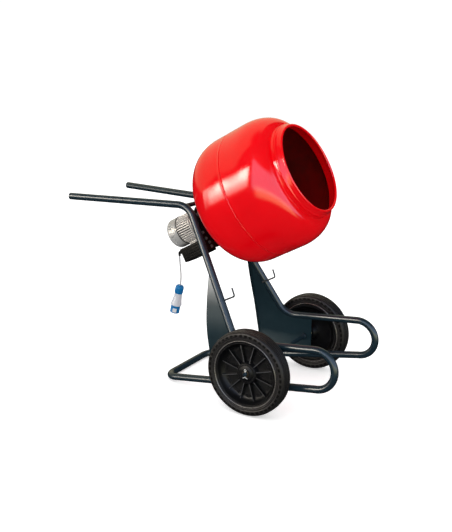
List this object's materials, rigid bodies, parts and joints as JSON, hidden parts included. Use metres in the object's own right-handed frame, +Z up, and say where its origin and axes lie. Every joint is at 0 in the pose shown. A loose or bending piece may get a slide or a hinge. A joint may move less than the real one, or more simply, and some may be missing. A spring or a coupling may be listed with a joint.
{
  "type": "concrete mixer",
  "caption": "Portable electric concrete mixer: tilted pear-shaped drum over a bent-tube barrow frame with handles, side panels, wheels, geared motor, switch box and plug on a short lead",
  "frame": {"origin": "on the floor, under the centre of the whole machine's bounding box", "axes": "+X forward, the way the drum's mouth faces; +Y the machine's left; +Z up"},
  "size_m": [1.5202, 0.749, 1.3134],
  "materials": {
    "frame_paint": "gloss blue-grey enamel",
    "drum_red": "gloss red enamel",
    "tyre_black": "solid black rubber",
    "seal_rubber": "matt",
    "black_plastic": "moulded, lightly textured",
    "cast_aluminium": "cast, finned",
    "fan_cover": "pressed sheet",
    "steel": "machined",
    "zinc": "bright zinc plate",
    "bronze": "machined",
    "copper": "varnished windings",
    "gearbox_black": "black paint",
    "plug_blue": "moulded",
    "plug_grey": "moulded",
    "cord_grey": "smooth sheath",
    "button_green": "moulded",
    "button_red": "moulded"
  },
  "bodies": {
    "chassis": {"side_frame_left": "frame_paint", "side_frame_right": "frame_paint", "side_panel_left": "frame_paint", "side_panel_right": "frame_paint", "rear_foot_tube": "frame_paint", "handle_end_plug_left": "black_plastic", "handle_end_plug_right": "black_plastic", "hook_left": "frame_paint", "hook_right": "frame_paint", "handle_crossbar": "frame_paint", "axle": "frame_paint", "axle_boss_left": "frame_paint", "axle_boss_right": "frame_paint", "wheel_washer_left": "zinc", "wheel_washer_right": "zinc", "split_pin_left": "zinc", "split_pin_right": "zinc", "drive_plate": "gearbox_black", "gearbox_housing": "gearbox_black", "bearing_carrier": "gearbox_black", "shaft_seal": "seal_rubber", "output_bearing_front": "steel", "output_bearing_rear": "steel", "motor_flange": "cast_aluminium", "motor_bearing_front": "steel", "motor_bearing_rear": "steel", "motor_housing": "cast_aluminium", "stator": "copper", "motor_end_shield": "cast_aluminium", "fan_cover": "fan_cover", "switch_box": "black_plastic", "switch_box_cover": "black_plastic", "switch_block": "plug_grey", "cable_gland": "black_plastic", "power_cord": "cord_grey", "plug_nut": "plug_blue", "plug_body": "plug_grey", "plug_sleeve": "plug_blue", "plug_contacts": "plug_grey"},
    "drum": {"drum_upper_shell": "drum_red", "drum_bowl": "drum_red", "mixing_blade_1": "drum_red", "mixing_blade_2": "drum_red", "drum_hub": "gearbox_black", "hub_stud_ring": "zinc", "drum_shaft": "steel", "output_gear": "steel"},
    "countershaft": {"layshaft": "steel", "layshaft_gear": "steel"},
    "motor_rotor": {"motor_shaft": "steel", "rotor_core": "steel", "cooling_fan": "black_plastic"},
    "wheel_left": {"tyre_left": "tyre_black", "rim_left": "black_plastic", "hub_bush_left": "bronze"},
    "wheel_right": {"tyre_right": "tyre_black", "rim_right": "black_plastic", "hub_bush_right": "bronze"},
    "start_button": {"start_button": "button_green"},
    "stop_button": {"stop_button": "button_red"}
  },
  "joints": [
    {"name": "drum_spin", "type": "hinge", "parent": "chassis", "child": "drum", "pos_m": [-0.04592, 0, 0.82062], "axis": [0.8862, 0, 0.4633], "continuous": true},
    {"name": "layshaft_spin", "type": "hinge", "parent": "chassis", "child": "countershaft", "pos_m": [-0.01755, 0, 0.76634], "axis": [0.8862, 0, 0.4633], "continuous": true},
    {"name": "rotor_spin", "type": "hinge", "parent": "chassis", "child": "motor_rotor", "pos_m": [-0.17885, 0, 0.75113], "axis": [0.8862, 0, 0.4633], "continuous": true},
    {"name": "wheel_left_spin", "type": "hinge", "parent": "chassis", "child": "wheel_left", "pos_m": [0.3629, 0.3368, 0.2], "axis": [0, 1, 0], "continuous": true},
    {"name": "wheel_right_spin", "type": "hinge", "parent": "chassis", "child": "wheel_right", "pos_m": [0.3629, -0.3368, 0.2], "axis": [0, 1, 0], "continuous": true},
    {"name": "start_press", "type": "slide", "parent": "chassis", "child": "start_button", "axis": [0, -1, 0], "range_m": [0, 0.003], "stiffness_N_per_m": 400},
    {"name": "stop_press", "type": "slide", "parent": "chassis", "child": "stop_button", "axis": [0, -1, 0], "range_m": [0, 0.003], "stiffness_N_per_m": 400}
  ],
  "couplings": [
    {"joint": "layshaft_spin", "follows": "drum_spin", "ratio": -6},
    {"joint": "rotor_spin", "follows": "drum_spin", "ratio": 36}
  ]
}
